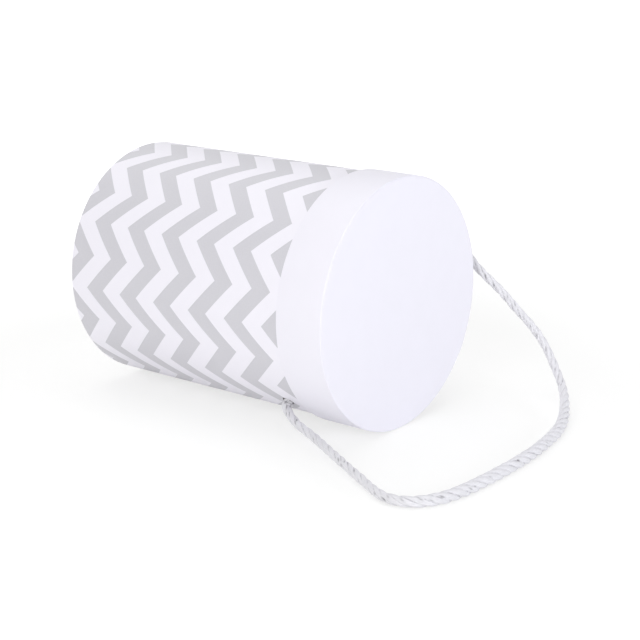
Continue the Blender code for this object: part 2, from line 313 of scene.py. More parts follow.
# The overhand knots at the rope's ends: their ring's mean radius, and shares of it
knot_ring = 0.007345
knot_lobe_share = 0.474
knot_height_share = 0.711
knot_part_share = 0.591
knot_spread_share = 0.193

# Their tail and their room inside the lining in metres, and how finely they are built
knot_tail = 0.0120
knot_clearance = 0.0006
lining_facets = 64
knot_points = 50
knot_end_points = 8
knot_steps = 6

# Where the rope's twist stands at the near hole: how far along its lay, and its turn
twist_travel = 0.15289
twist_turn = 2.1505


def make_camera():
    """The photograph's view: a long lens, a little above the lying box, from the lid's side."""
    data = bpy.data.cameras.new("camera")
    data.lens = camera_lens
    data.sensor_width = camera_sensor
    data.clip_start = 0.05
    data.clip_end = 20.0
    camera = bpy.data.objects.new("camera", data)
    bpy.context.scene.collection.objects.link(camera)
    camera.location = camera_place
    camera.rotation_euler = Vector(camera_look).to_track_quat("-Z", "Y").to_euler()
    bpy.context.scene.camera = camera


def node(tree, kind, settings=None, **values):
    """Adds a shader node; settings are its properties, values its unlinked inputs by name."""
    made = tree.nodes.new(kind)
    for name, value in (settings or {}).items():
        setattr(made, name, value)
    for name, value in values.items():
        made.inputs[name.replace("_", " ")].default_value = value
    return made


def maths(tree, operation, first, second=None, third=None):
    """A Math node whose inputs are numbers or sockets; returns its output."""
    made = tree.nodes.new("ShaderNodeMath")
    made.operation = operation
    for socket, value in zip(made.inputs, (first, second, third)):
        if value is None:
            continue
        if isinstance(value, (int, float)):
            socket.default_value = value
        else:
            tree.links.new(value, socket)
    return made.outputs[0]


def mixed(tree, share, first, second):
    """A colour between two, by a share from 0 to 1; each may be a colour or a socket."""
    made = tree.nodes.new("ShaderNodeMix")
    made.data_type = "RGBA"
    for socket, value in ((made.inputs[0], share), (made.inputs[6], first),
                          (made.inputs[7], second)):
        if isinstance(value, bpy.types.NodeSocket):
            tree.links.new(value, socket)
        elif isinstance(value, tuple):
            socket.default_value = (*value, 1.0)
        else:
            socket.default_value = value
    return made.outputs[2]


def new_material(name, colour, roughness, **values):
    """A material with a Principled shader; returns it, its tree and the shader."""
    material = bpy.data.materials.new(name)
    material.use_nodes = True
    tree = material.node_tree
    shader = tree.nodes["Principled BSDF"]
    shader.inputs["Base Color"].default_value = (*colour, 1.0)
    shader.inputs["Roughness"].default_value = roughness
    for key, value in values.items():
        shader.inputs[key.replace("_", " ")].default_value = value
    return material, tree, shader


def noise(tree, place, scale, detail=3.0, roughness=0.55):
    """A noise texture read at a place, with its features about 1 / scale metres across."""
    made = node(tree, "ShaderNodeTexNoise", Scale=scale, Detail=detail, Roughness=roughness)
    tree.links.new(place, made.inputs["Vector"])
    return made.outputs["Fac"]


def ranged(tree, value, low, high, to_low, to_high):
    """A value mapped from one range to another, held at the ends."""
    made = node(tree, "ShaderNodeMapRange")
    made.inputs["From Min"].default_value = low
    made.inputs["From Max"].default_value = high
    made.inputs["To Min"].default_value = to_low
    made.inputs["To Max"].default_value = to_high
    tree.links.new(value, made.inputs["Value"])
    return made.outputs["Result"]


def bumped(tree, shader, height, depth, strength):
    """Links a height in shares of a depth in metres to the shader's normal."""
    made = node(tree, "ShaderNodeBump", Strength=strength, Distance=depth)
    tree.links.new(height, made.inputs["Height"])
    tree.links.new(made.outputs["Normal"], shader.inputs["Normal"])


def object_place(tree):
    """The place on the piece itself, in metres, which moves with the piece."""
    return tree.nodes.new("ShaderNodeTexCoord").outputs["Object"]


def paper_grain(tree, shader, place, tone, depth=paper_relief):
    """Fine fibre, faint clouding and a slightly uneven gloss, over a tone; returns the colour."""
    fibre = noise(tree, place, paper_fibre_scale, 4.0, 0.6)
    cloud = noise(tree, place, paper_cloud_scale, 2.0, 0.5)
    both = maths(tree, "ADD", maths(tree, "MULTIPLY", fibre, 0.7),
                 maths(tree, "MULTIPLY", cloud, 0.3))
    bumped(tree, shader, both, depth, 0.35)
    roughness = shader.inputs["Roughness"]
    rough = ranged(tree, fibre, 0.3, 0.7, roughness.default_value - 0.05,
                   roughness.default_value + 0.06)
    tree.links.new(rough, roughness)
    light = ranged(tree, both, 0.3, 0.7, 0.0, 1.0)
    darker = node(tree, "ShaderNodeHueSaturation", Value=fibre_tone)
    if isinstance(tone, tuple):
        darker.inputs["Color"].default_value = (*tone, 1.0)
    else:
        tree.links.new(tone, darker.inputs["Color"])
    return mixed(tree, light, darker.outputs["Color"], tone)


def height_along_paper(tree, parts, radius, mouth):
    """The height on the wall, carried on under the foot and in over the mouth by its folds."""
    flat = tree.nodes.new("ShaderNodeCombineXYZ")
    tree.links.new(parts.outputs["X"], flat.inputs[0])
    tree.links.new(parts.outputs["Y"], flat.inputs[1])
    out = node(tree, "ShaderNodeVectorMath", {"operation": "LENGTH"})
    tree.links.new(flat.outputs[0], out.inputs[0])
    in_from_wall = maths(tree, "SUBTRACT", radius, out.outputs["Value"])
    inside = maths(tree, "MULTIPLY", maths(tree, "GREATER_THAN", in_from_wall, turned_in_from),
                   maths(tree, "GREATER_THAN", parts.outputs["Z"], mouth / 2.0))
    folded = maths(tree, "SUBTRACT", 2.0 * mouth, parts.outputs["Z"])
    height = maths(tree, "ADD", parts.outputs["Z"],
                   maths(tree, "MULTIPLY", inside,
                         maths(tree, "SUBTRACT", folded, parts.outputs["Z"])))
    side = maths(tree, "SUBTRACT", maths(tree, "MULTIPLY", inside, 2.0), 1.0)
    return maths(tree, "ADD", height, maths(tree, "MULTIPLY", in_from_wall, side))


def chevron_share(tree, place, radius, mouth):
    """1 on the grey chevrons and 0 on the white ones, from the place on the wrapped paper."""
    parts = tree.nodes.new("ShaderNodeSeparateXYZ")
    tree.links.new(place, parts.inputs[0])
    across = maths(tree, "MULTIPLY", parts.outputs["Y"], -1.0)
    turn = maths(tree, "ARCTAN2", across, parts.outputs["X"])
    cut_edge = math.radians(print_seam_deg) + seam_overlap / radius
    turn = maths(tree, "WRAP", turn, cut_edge + full_turn, cut_edge)
    rows = maths(tree, "DIVIDE", maths(tree, "SUBTRACT", turn, math.radians(print_peak_deg)),
                 math.radians(print_half_deg))
    low = maths(tree, "PINGPONG", rows, 1.0)
    rise = maths(tree, "MULTIPLY", maths(tree, "SUBTRACT", 1.0, low), print_rise)
    height = height_along_paper(tree, parts, radius, mouth)
    along = maths(tree, "SUBTRACT", maths(tree, "SUBTRACT", height, print_start), rise)
    phase = maths(tree, "FRACT", maths(tree, "DIVIDE", along, print_pitch))
    middle = print_grey_share / 2.0
    wobble = noise(tree, place, ragged_scale, 2.0)
    wobble = maths(tree, "MULTIPLY", maths(tree, "SUBTRACT", wobble, 0.5), print_ragged)
    reach = maths(tree, "ADD", maths(tree, "ABSOLUTE", maths(tree, "SUBTRACT", phase, middle)),
                  wobble)
    return ranged(tree, reach, middle + print_soft, middle - print_soft, 0.0, 1.0)


def printed_paper():
    """White paper with grey chevrons, whose ink is faintly mottled."""
    material, tree, shader = new_material("printed_paper", print_plain, paper_rough)
    place = object_place(tree)
    _, radius, _, mouth = node_reach("body_wrap")
    share = chevron_share(tree, place, radius, mouth)
    ink = noise(tree, place, ink_scale, 3.0, 0.7)
    grey = mixed(tree, ranged(tree, ink, 0.35, 0.65, 0.0, 1.0), print_dark_grey,
                 print_light_grey)
    tone = mixed(tree, share, print_white, grey)
    colour = paper_grain(tree, shader, place, tone)
    tree.links.new(colour, shader.inputs["Base Color"])
    return material


def plain_paper(name, tone, roughness=paper_rough, depth=paper_relief):
    """Unprinted paper of one tone, with its grain."""
    material, tree, shader = new_material(name, tone, roughness)
    colour = paper_grain(tree, shader, object_place(tree), tone, depth)
    tree.links.new(colour, shader.inputs["Base Color"])
    return material


def greyboard():
    """Raw recycled board: grey-brown, with darker and lighter flecks of fibre."""
    material, tree, shader = new_material("greyboard", board_plain, board_rough)
    place = object_place(tree)
    fleck = noise(tree, place, fleck_scale, 5.0, 0.75)
    cloud = noise(tree, place, board_cloud_scale, 3.0)
    tone = mixed(tree, ranged(tree, fleck, 0.35, 0.7, 0.0, 1.0), board_dark, board_light)
    colour = mixed(tree, ranged(tree, cloud, 0.4, 0.6, 0.0, 0.35), tone, board_cloud)
    tree.links.new(colour, shader.inputs["Base Color"])
    bumped(tree, shader, fleck, board_relief, 0.6)
    return material


def rope_fibre():
    """Soft white rope: fine fibres along each yarn, with painted shade where yarns and strands meet and in the
    partings.
    """
    material, tree, shader = new_material("cotton_rope", rope_plain, rope_rough,
                                          Sheen_Weight=0.2, Sheen_Roughness=0.5)
    along, around, crown, yarn, parting_dent_and_shade = (
        node(tree, "ShaderNodeAttribute", {"attribute_name": name}).outputs["Fac"]
        for name in ("along", "around", "crown", "yarn", "parting_dent_and_shade"))
    joined = tree.nodes.new("ShaderNodeCombineXYZ")
    tree.links.new(maths(tree, "MULTIPLY", along, 0.08), joined.inputs[0])
    tree.links.new(around, joined.inputs[1])
    fibre = node(tree, "ShaderNodeTexNoise", Scale=9.0, Detail=4.0, Roughness=0.65)
    tree.links.new(joined.outputs[0], fibre.inputs["Vector"])
    patch = noise(tree, object_place(tree), rope_patch_scale, 2.0, 0.5)
    tone = mixed(tree, ranged(tree, fibre.outputs["Fac"], 0.3, 0.7, 0.0, 1.0), rope_dull,
                 rope_white)
    tone = mixed(tree, ranged(tree, patch, 0.35, 0.65, 0.4, 0.0), tone, rope_patch)
    # Painted shade between the yarns, where the patch noise lets it show
    between = maths(tree, "MULTIPLY", ranged(tree, yarn, 0.0, 0.45, 1.0, 0.0),
                    ranged(tree, patch, 0.40, 0.62, 0.05, 0.34))
    tone = mixed(tree, between, tone, yarn_gap_painted_shade)
    # Painted shade in the valleys between the strands, where the patch noise lets it show
    valley = maths(tree, "MULTIPLY", ranged(tree, crown, 0.0, 0.45, 1.0, 0.0),
                   ranged(tree, patch, 0.42, 0.60, 0.0, 0.7))
    tone = mixed(tree, valley, tone, strand_gap_painted_shade)
    # Painted shade in the partings between the strands
    tone = mixed(tree, ranged(tree, parting_dent_and_shade, 0.0, 1.0, 0.0, 0.85), tone, parting_painted_shade)
    tree.links.new(tone, shader.inputs["Base Color"])
    bumped(tree, shader, fibre.outputs["Fac"], rope_relief, 0.6)
    return material


def looked_at(tree):
    """1 for the rays that look at a thing, and 0 for those that light others from it."""
    rays = tree.nodes.new("ShaderNodeLightPath")
    seen = maths(tree, "MAXIMUM", rays.outputs["Is Camera Ray"], rays.outputs["Is Glossy Ray"])
    return maths(tree, "MAXIMUM", seen, rays.outputs["Is Transmission Ray"])


def floor_paint():
    """A plain white floor: the camera sees it burnt out, with a share of its shadows."""
    material = bpy.data.materials.new("floor_white")
    material.use_nodes = True
    tree = material.node_tree
    tree.nodes.remove(tree.nodes["Principled BSDF"])
    plain = node(tree, "ShaderNodeBsdfDiffuse", Color=floor_colour)
    shaded = node(tree, "ShaderNodeBsdfDiffuse", Color=floor_shade)
    white = node(tree, "ShaderNodeEmission", Color=floor_seen)
    away = node(tree, "ShaderNodeVectorMath", {"operation": "LENGTH"})
    tree.links.new(object_place(tree), away.inputs[0])
    glow = ranged(tree, away.outputs["Value"], glow_near, glow_far, floor_glow, 1.0)
    tree.links.new(glow, white.inputs["Strength"])
    burnt = tree.nodes.new("ShaderNodeAddShader")
    tree.links.new(shaded.outputs[0], burnt.inputs[0])
    tree.links.new(white.outputs[0], burnt.inputs[1])
    blend = tree.nodes.new("ShaderNodeMixShader")
    tree.links.new(looked_at(tree), blend.inputs[0])
    tree.links.new(plain.outputs[0], blend.inputs[1])
    tree.links.new(burnt.outputs[0], blend.inputs[2])
    tree.links.new(blend.outputs[0], tree.nodes["Material Output"].inputs["Surface"])
    return material


def fold_corner(corner, before, after, radius):
    """Points of a quarter fold that rounds a right-angled corner of an outline."""
    corner, before, after = (np.array(point, float) for point in (corner, before, after))
    come = (before - corner) / np.linalg.norm(before - corner)
    go = (after - corner) / np.linalg.norm(after - corner)
    centre = corner + (come + go) * radius
    turns = np.linspace(0.0, math.pi / 2.0, fold_steps + 1)
    return [centre - go * radius * math.cos(turn) - come * radius * math.sin(turn)
            for turn in turns]


def sheet_outline(corners):
    """A closed outline from (radius, height, fold radius) corners given clockwise.

    Its points run the other way round, so that the sheet's faces look outwards.
    """
    points = []
    for index, (radius, height, fold) in enumerate(corners):
        before = corners[index - 1][:2]
        after = corners[(index + 1) % len(corners)][:2]
        if fold > 0.0:
            points += fold_corner((radius, height), before, after, fold)
        else:
            points.append(np.array((radius, height)))
    return np.array(points[::-1])


def shade_smoothly(mesh):
    """Smooth shading, but for edges where the faces turn by more than the sharp angle."""
    mesh.shade_smooth()
    mesh.set_sharp_from_angle(angle=sharp_angle)


def upright_piece(mesh, body, material):
    """Makes a piece of a mesh that was built in the box's upright frame, and sets it riding."""
    piece = bpy.data.objects.new(mesh.name, mesh)
    bpy.context.scene.collection.objects.link(piece)
    piece.matrix_world = upright
    mesh.materials.append(material)
    shade_smoothly(mesh)
    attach(piece, body)
    return piece


def bake_map(mesh, places):
    """Gives the mesh the flat map that its colours are baked on, corner by corner."""
    layer = mesh.uv_layers.new(name="OFBake", do_init=False)
    layer.uv.foreach_set("vector", np.array(places, np.float32).ravel())


def sheet_map(outline, off_core, rings):
    """Where a wrapped sheet's corners lie on its map, face by face as it is built.

    The side away from the board gets most of the map, and the glued side a thin band.
    """
    along = np.linalg.norm(np.roll(outline, -1, axis=0) - outline, axis=1)
    seen = np.minimum(off_core, np.roll(off_core, -1)) > off_core.max() - paper / 2.0
    rows = np.concatenate([[0.0], np.cumsum(along * np.where(seen, 1.0, glued_side_share))])
    rows = map_margin + map_span * rows / rows[-1]
    columns = np.linspace(map_margin, map_margin + map_span, rings)
    places = []
    for start, end in zip(columns[:-1], columns[1:]):
        for low, high in zip(rows[:-1], rows[1:]):
            places += [(start, low), (start, high), (end, high), (end, low)]
    edge = [sheet_end_place + sheet_end_width * index / len(outline)
            for index in range(len(outline))]
    places += [(edge[side], rows[side]) for side in range(len(outline) - 1, -1, -1)]
    places += [(1.0 - edge[side], rows[side]) for side in range(len(outline))]
    return places


def ways_off(core, points):
    """Directions that lead from the nearest place on a core line to each point, and how far."""
    best = np.full(len(points), np.inf)
    ways = np.zeros_like(points)
    for start, end in zip(core[:-1], core[1:]):
        start, run = np.array(start), np.array(end) - np.array(start)
        share = np.clip((points - start) @ run / (run @ run), 0.0, 1.0)
        gap = points - start - share[:, None] * run
        length = np.linalg.norm(gap, axis=1)
        closer = length < best
        best = np.where(closer, length, best)
        ways = np.where(closer[:, None], gap / length[:, None], ways)
    return ways, best


def wrapped_sheet(name, corners, core, seam_deg, body, material):
    """Paper wrapped once round, from its outline, with its two ends lapped at a seam.

    The upper end lies over the lower end, lifted off the board whose middle is the core line.
    """
    outline = sheet_outline(corners)
    seam = math.radians(seam_deg)
    lap = seam_overlap / outline[:, 0].max()
    ramp = lap / 2.0
    turns = np.linspace(seam, seam + full_turn + lap, fine_facets + lap_facets)
    lift = np.clip((turns - (seam + full_turn - ramp)) / ramp, 0.0, 1.0) * lap_lift
    ways, off_core = ways_off(core, outline)
    sides = len(outline)
    verts = []
    for turn, raised in zip(turns, lift):
        ring = outline + ways * raised
        verts += list(np.stack([ring[:, 0] * np.cos(turn), -ring[:, 0] * np.sin(turn),
                                ring[:, 1]], 1))
    faces = []
    last = (len(turns) - 1) * sides
    for first in range(0, last, sides):
        second = first + sides
        for side in range(sides):
            after = (side + 1) % sides
            faces.append((first + side, first + after, second + after, second + side))
    faces.append(tuple(range(sides - 1, -1, -1)))
    faces.append(tuple(range(last, last + sides)))
    mesh = bpy.data.meshes.new(name)
    mesh.from_pydata([tuple(vert) for vert in verts], [], faces)
    mesh.update()
    piece = upright_piece(mesh, body, material)
    bake_map(mesh, sheet_map(outline, off_core, len(turns)))
    return piece


def round_sheet(name, radius, low, high, pressed, body, material):
    """A flat round sheet between two heights, its edge pressed on to the paper beside it."""
    mesh = bpy.data.meshes.new(name)
    shape = bmesh.new()
    bmesh.ops.create_cone(shape, cap_ends=True, segments=fine_facets,
                          radius1=radius, radius2=radius, depth=high - low)
    bmesh.ops.translate(shape, verts=shape.verts, vec=(0.0, 0.0, (low + high) / 2.0))
    rims = [line for line in shape.edges if len({round(v.co.z, 7) for v in line.verts}) == 1]
    bmesh.ops.bevel(shape, geom=rims, offset=sheet_edge, segments=2, affect="EDGES")
    caps = [face for face in shape.faces if len(face.verts) > 4]
    for _ in range(pressed_steps):
        bmesh.ops.inset_individual(shape, faces=caps, thickness=pressed_width / pressed_steps)
    for vert in shape.verts:
        share = 1.0 - (radius - math.hypot(vert.co.x, vert.co.y)) / pressed_width
        share = min(max(share, 0.0), 1.0)
        vert.co.z += pressed * share * share * (3.0 - 2.0 * share)
    shape.to_mesh(mesh)
    shape.free()
    return upright_piece(mesh, body, material)


def upright_reach(name):
    """A CAD node's points as radii and heights in the box's upright frame."""
    back = upright.inverted()
    places = [back @ vert.co for vert in frame["nodes"][name].data.vertices]
    return [math.hypot(place.x, place.y) for place in places], [place.z for place in places]


def node_reach(name):
    """The least and greatest radius and height of a CAD node."""
    radii, heights = upright_reach(name)
    return min(radii), max(radii), min(heights), max(heights)


def turn_in_radius(name):
    """The inner radius of a wrap's turned-in part, just inside its wall."""
    radii, _ = upright_reach(name)
    outer = max(radii)
    return min(radius for radius in radii if radius > outer - wall_depth)


def punch_holes(piece):
    """Cuts the rope's two round holes through a piece of the wall."""
    mesh = bpy.data.meshes.new("hole_cutter")
    shape = bmesh.new()
    bmesh.ops.create_cone(shape, cap_ends=True, segments=hole_facets, radius1=hole_radius,
                          radius2=hole_radius, depth=hole_cutter_length)
    shape.to_mesh(mesh)
    shape.free()
    cutter = bpy.data.objects.new("hole_cutter", mesh)
    bpy.context.scene.collection.objects.link(cutter)
    cutter.matrix_world = (Matrix.Translation(hole_centre)
                           @ hole_line.to_track_quat("Z", "Y").to_matrix().to_4x4())
    cut = piece.modifiers.new("holes", "BOOLEAN")
    cut.operation = "DIFFERENCE"
    cut.object = cutter
    bpy.context.view_layer.update()
    ready = piece.evaluated_get(bpy.context.evaluated_depsgraph_get())
    result = bpy.data.meshes.new_from_object(ready)
    piece.modifiers.remove(cut)
    old = piece.data
    piece.data = result
    bpy.data.meshes.remove(old)
    bpy.data.objects.remove(cutter)
    shade_smoothly(piece.data)


def make_body_paper(material):
    """The printed paper: turned in over the mouth and turned under at the foot."""
    _, radius, low, high = node_reach("body_wrap")
    inner = turn_in_radius("body_wrap")
    inner_fold = fold_radius - paper
    corners = [
        (inner, high - mouth_turn_in, 0.0),
        (inner, high, fold_radius),
        (radius, high, fold_radius),
        (radius, low, fold_radius),
        (radius - foot_turn_under, low, 0.0),
        (radius - foot_turn_under, low + paper, 0.0),
        (radius - paper, low + paper, inner_fold),
        (radius - paper, high - paper, inner_fold),
        (inner + paper, high - paper, inner_fold),
        (inner + paper, high - mouth_turn_in, 0.0),
    ]
    middle = (radius - inner) / 2.0
    core = [(radius - foot_turn_under, low + middle), (radius - middle, low + middle),
            (radius - middle, high - middle)]
    piece = wrapped_sheet("body_paper", corners, core, print_seam_deg, "box",
                          material)
    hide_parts("body_wrap")
    punch_holes(piece)


def make_lid_paper(material):
    """The lid band's white paper: turned in at the open edge and over the top edge."""
    _, radius, low, high = node_reach("lid_wrap")
    inner = turn_in_radius("lid_wrap")
    inner_fold = fold_radius - paper
    corners = [
        (inner, low, fold_radius),
        (inner, low + lid_turn_in, 0.0),
        (inner + paper, low + lid_turn_in, 0.0),
        (inner + paper, low + paper, inner_fold),
        (radius - paper, low + paper, inner_fold),
        (radius - paper, high - paper, inner_fold),
        (radius - lid_turn_over, high - paper, 0.0),
        (radius - lid_turn_over, high, 0.0),
        (radius, high, fold_radius),
        (radius, low, fold_radius),
    ]
    middle = (radius - inner) / 2.0
    core = [(radius - lid_turn_over, high - middle), (radius - middle, high - middle),
            (radius - middle, low + middle)]
    piece = wrapped_sheet("lid_paper_wrap", corners, core, lid_seam_deg, "lid",
                          material)
    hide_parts("lid_wrap")


def make_discs(papers):
    """The four round sheets, each with its rim pressed towards the board behind it."""
    for name, new_name, pressed, body, slot in (
            ("lid_top_paper", "lid_top_sheet", -pressed_down, "lid", "lid_paper"),
            ("base_cover", "base_sheet", pressed_down, "box", "white_paper"),
            ("lid_lining", "lid_inside_sheet", pressed_down, "lid", "lining_paper"),
            ("base_lining", "base_inside_sheet", -pressed_down, "box", "lining_paper")):
        _, radius, low, high = node_reach(name)
        piece = round_sheet(new_name, radius, low, high, pressed, body, papers[slot])
        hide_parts(name)


def make_lining(material):
    """The white paper that lines the wall inside, over the turned-in print."""
    _, outer, low, high = node_reach("body_lining")
    inner = outer - paper
    corners = [(inner, low, 0.0), (inner, high, 0.0), (outer, high, 0.0), (outer, low, 0.0)]
    core = [(outer + paper, low), (outer + paper, high)]
    piece = wrapped_sheet("wall_lining", corners, core, lining_seam_deg, "box",
                          material)
    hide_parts("body_lining")
    punch_holes(piece)


def smooth_line(points, steps=24):
    """A natural cubic spline through the points, as many short straight steps."""
    knots = np.array([tuple(point) for point in points])
    lengths = np.linalg.norm(np.diff(knots, axis=0), axis=1)
    count = len(knots)
    system = np.eye(count)
    right = np.zeros((count, 3))
    slopes = np.diff(knots, axis=0) / lengths[:, None]
    for index in range(1, count - 1):
        system[index, index - 1] = lengths[index - 1]
        system[index, index] = 2.0 * (lengths[index - 1] + lengths[index])
        system[index, index + 1] = lengths[index]
        right[index] = 6.0 * (slopes[index] - slopes[index - 1])
    bends = np.linalg.solve(system, right)
    line = []
    for index in range(count - 1):
        length = lengths[index]
        start_bend, end_bend = bends[index], bends[index + 1]
        for step in range(steps):
            run = length * step / steps
            lift = slopes[index] - length * (2.0 * start_bend + end_bend) / 6.0
            cubic = (end_bend - start_bend) / (6.0 * length)
            line.append(knots[index] + run * lift + run ** 2 * start_bend / 2.0
                        + run ** 3 * cubic)
    line.append(knots[-1])
    return np.array(line)


def travel_along(line):
    """How far along a line each of its points lies."""
    return np.concatenate([[0.0], np.cumsum(np.linalg.norm(np.diff(line, axis=0), axis=1))])


def spaced(line, step):
    """The line again, with its points one even step apart."""
    travel = travel_along(line)
    places = np.linspace(0.0, travel[-1], int(round(travel[-1] / step)) + 1)
    return np.stack([np.interp(places, travel, line[:, side]) for side in range(3)], 1)


def knot_line():
    """An overhand knot that starts at zero, with its standing part running out along +X."""
    turns = np.linspace(0.0, full_turn, knot_points)
    parting = (turns - math.pi) / math.pi
    spread = np.abs(parting) ** 4
    ring = 1.0 + knot_lobe_share * np.cos(3.0 * turns) + knot_spread_share * spread
    height = knot_height_share * np.sin(3.0 * turns) + knot_part_share * np.sign(parting) * spread
    line = knot_ring * np.stack([ring * np.cos(2.0 * turns), ring * np.sin(2.0 * turns),
                                 height], 1)
    line = line - line[0]
    out = line[0] - line[1]
    out = out / np.linalg.norm(out)
    side = np.array([1.0, 0.0, 0.0]) - out * out[0]
    side = side / np.linalg.norm(side)
    return line @ np.stack([out, np.cross(side, out), side]).T


def knot_depth(knot):
    """How far from the box's axis the knot starts, so that it turns clear of the lining."""
    flat_share = math.cos(math.pi / lining_facets)
    room = node_reach("body_lining")[0] * flat_share - rope_size / 2.0 - knot_clearance
    off_axis = np.hypot(knot[:, 1], knot[:, 2])
    return (np.sqrt(room ** 2 - off_axis ** 2) - knot[:, 0]).min()


def knot_in_place(out):
    """The knotted end's centre line in the room, from its face outside the wall inwards."""
    knot = knot_line()
    depth = knot_depth(knot)
    tail_way = (knot[-1] - knot[-2]) / np.linalg.norm(knot[-1] - knot[-2])
    stem = (np.linspace(rope_face - depth, 0.0, knot_end_points)[:-1, None]
            * np.array([1.0, 0.0, 0.0]))
    tail = knot[-1] + np.linspace(0.0, knot_tail, knot_end_points)[1:, None] * tail_way
    line = smooth_line(np.vstack([stem, knot, tail]), knot_steps)
    line[:, 0] += depth
    side = box_axis.cross(out)
    return np.array([tuple(hole_centre + out * a + side * b + box_axis * c)
                     for a, b, c in line])


def rope_lines():
    """The near knot, the free rope and the far knot, each as points in the room."""
    reaches = (rope_exit, rope_exit + rope_straight_end)
    near = [hole_centre + hole_line * reach for reach in reaches]
    far = [hole_centre - hole_line * reach for reach in reversed(reaches)]
    middle = smooth_line([near[1], *[Vector(point) for point in rope_route], far[0]])
    free = np.vstack([tuple(near[0]), middle, tuple(far[1])])
    return knot_in_place(hole_line), free, knot_in_place(-hole_line)


def unit(rows):
    """The rows of an array at length one."""
    return rows / np.linalg.norm(rows, axis=1)[:, None]


def carried_frames(line, start):
    """Two directions square to the line at each point, carried both ways from one of them."""
    ahead = unit(np.gradient(line, axis=0))
    firsts = np.zeros_like(line)
    any_way = (0.31, 0.17, 0.94)
    firsts[start] = np.cross(ahead[start], any_way)
    firsts[start] /= np.linalg.norm(firsts[start])
    for step, end in ((1, len(line)), (-1, -1)):
        for index in range(start + step, end, step):
            last = firsts[index - step]
            turned = last - ahead[index] * np.dot(last, ahead[index])
            firsts[index] = turned / np.linalg.norm(turned)
    return firsts, np.cross(ahead, firsts)


def rope_width(travel, free_start, free_end):
    """The rope's thickness: drawn thin at the holes and loosened along its middle."""
    share = np.clip((travel - free_start) / (free_end - free_start), 0.0, 1.0)
    swell = (np.clip((share - loose_from) / loose_ramp, 0.0, 1.0)
             * np.clip((loose_to - share) / loose_ramp, 0.0, 1.0))
    swell = swell * swell * (3.0 - 2.0 * swell)
    width = rope_thin + (rope_thick - rope_thin) * swell
    inside = (travel < free_start) | (travel > free_end)
    width = np.where(inside, rope_in_knot, width)
    kernel = np.hanning(blur_rings)
    padded = np.pad(width, blur_rings // 2, mode="edge")
    return np.convolve(padded, kernel / kernel.sum(), mode="valid")


def drift(travel, strand, amount, wave, shift):
    """An uneven wave along a strand."""
    return amount * np.sin(travel / wave + shift * strand)


def rope_skin(line, width, travel, start):
    """The rope's outside: rings of points over the strands, and what the fibres need to know.

    Each strand is a round that winds about the line; the outermost one shows at each angle.
    """
    first, second = carried_frames(line, start)
    around = np.linspace(0.0, full_turn, rope_sides, endpoint=False)
    shape = (len(line), rope_sides)
    reach, crown, yarn, spin = (np.zeros(shape) for _ in range(4))
    for strand in range(strands):
        turn = (full_turn * (travel / rope_lay + strand / strands) + twist_turn
                + drift(travel, strand, *slow_turn_drift)
                + drift(travel, strand, *quick_turn_drift))
        centre = strand_out_share * width * (1.0 + drift(travel, strand, *centre_drift))
        size = strand_size_share * width * (1.0 + drift(travel, strand, *size_drift))
        centre, size = centre[:, None], size[:, None]
        off = around[None] - turn[:, None]
        room = size ** 2 - (centre * np.sin(off)) ** 2
        out = centre * np.cos(off) + np.sqrt(np.maximum(room, 0.0))
        out = np.where(room > 0.0, out, 0.0)
        own = np.arctan2(out * np.sin(off), out * np.cos(off) - centre)
        own_spin = own + yarn_twist * travel[:, None] + yarn_shift * strand
        lobes = np.abs(np.cos(yarns / 2.0 * own_spin))
        shows = out > reach
        reach = np.where(shows, out, reach)
        yarn = np.where(shows, lobes, yarn)
        spin = np.where(shows, own_spin * yarns / full_turn + fibre_shift * strand, spin)
    wide = width[:, None]
    valley = strand_out_share * math.cos(math.pi / strands) + math.sqrt(
        strand_size_share ** 2 - (strand_out_share * math.sin(math.pi / strands)) ** 2)
    crown = np.clip((reach / wide - valley) / (0.5 - valley), 0.0, 1.0)
    reach = reach + strand_size_share * wide * yarn_groove * (yarn ** 0.7 - 0.7)
    # The partings: a shallow dent here, which the rope's material also paints dark as shade
    parting_dent_and_shade = np.zeros(shape)
    for x, y, z, half_length, strength in shaded_rope_partings:
        index = int(np.argmin(np.linalg.norm(line - (x, y, z), axis=1)))
        aside = np.array((x, y, z)) - line[index]
        angle = math.atan2(aside @ second[index], aside @ first[index])
        run = travel - travel[index]
        turned = around[None] - angle - full_turn * run[:, None] / rope_lay
        turned = (turned + math.pi) % full_turn - math.pi
        mark = np.exp(-(run[:, None] / half_length) ** 2
                      - (turned * wide * 0.45 / parting_half_width) ** 2)
        parting_dent_and_shade = np.maximum(parting_dent_and_shade, strength * mark)
    parting_dent_and_shade = np.minimum(parting_dent_and_shade, 1.0)
    reach = reach - parting_depth * parting_dent_and_shade
    rings = (line[:, None] + first[:, None] * (reach * np.cos(around))[:, :, None]
             + second[:, None] * (reach * np.sin(around))[:, :, None])
    return rings, {"crown": crown, "yarn": yarn, "parting_dent_and_shade": parting_dent_and_shade, "around": spin,
                   "along": np.repeat(travel[:, None] * 1000.0, rope_sides, 1)}


def rope_map(rings):
    """Where a rope skin's corners lie on its map: its length in rows, each once round."""
    row_count = max(1, math.ceil(rings / rings_in_row))
    length = math.ceil((rings - 1) / row_count)
    step = np.arange(rings - 1)
    row = step // length
    start = map_margin + map_span * (step - row * length) / length
    end = start + map_span / length
    side = map_margin + map_span * np.arange(rope_sides + 1) / rope_sides
    low = (row[:, None] + side[None, :-1]) / row_count
    high = (row[:, None] + side[None, 1:]) / row_count
    start, end = (np.repeat(edge[:, None], rope_sides, 1) for edge in (start, end))
    places = np.stack([np.stack([start, low], 2), np.stack([start, high], 2),
                       np.stack([end, high], 2), np.stack([end, low], 2)], 2).reshape(-1, 2)
    round_end = full_turn * np.arange(rope_sides) / rope_sides
    disc = rope_end_place + rope_end_radius * np.stack([np.cos(round_end), np.sin(round_end)], 1)
    return np.vstack([places, disc, disc + [rope_end_apart, 0.0]])


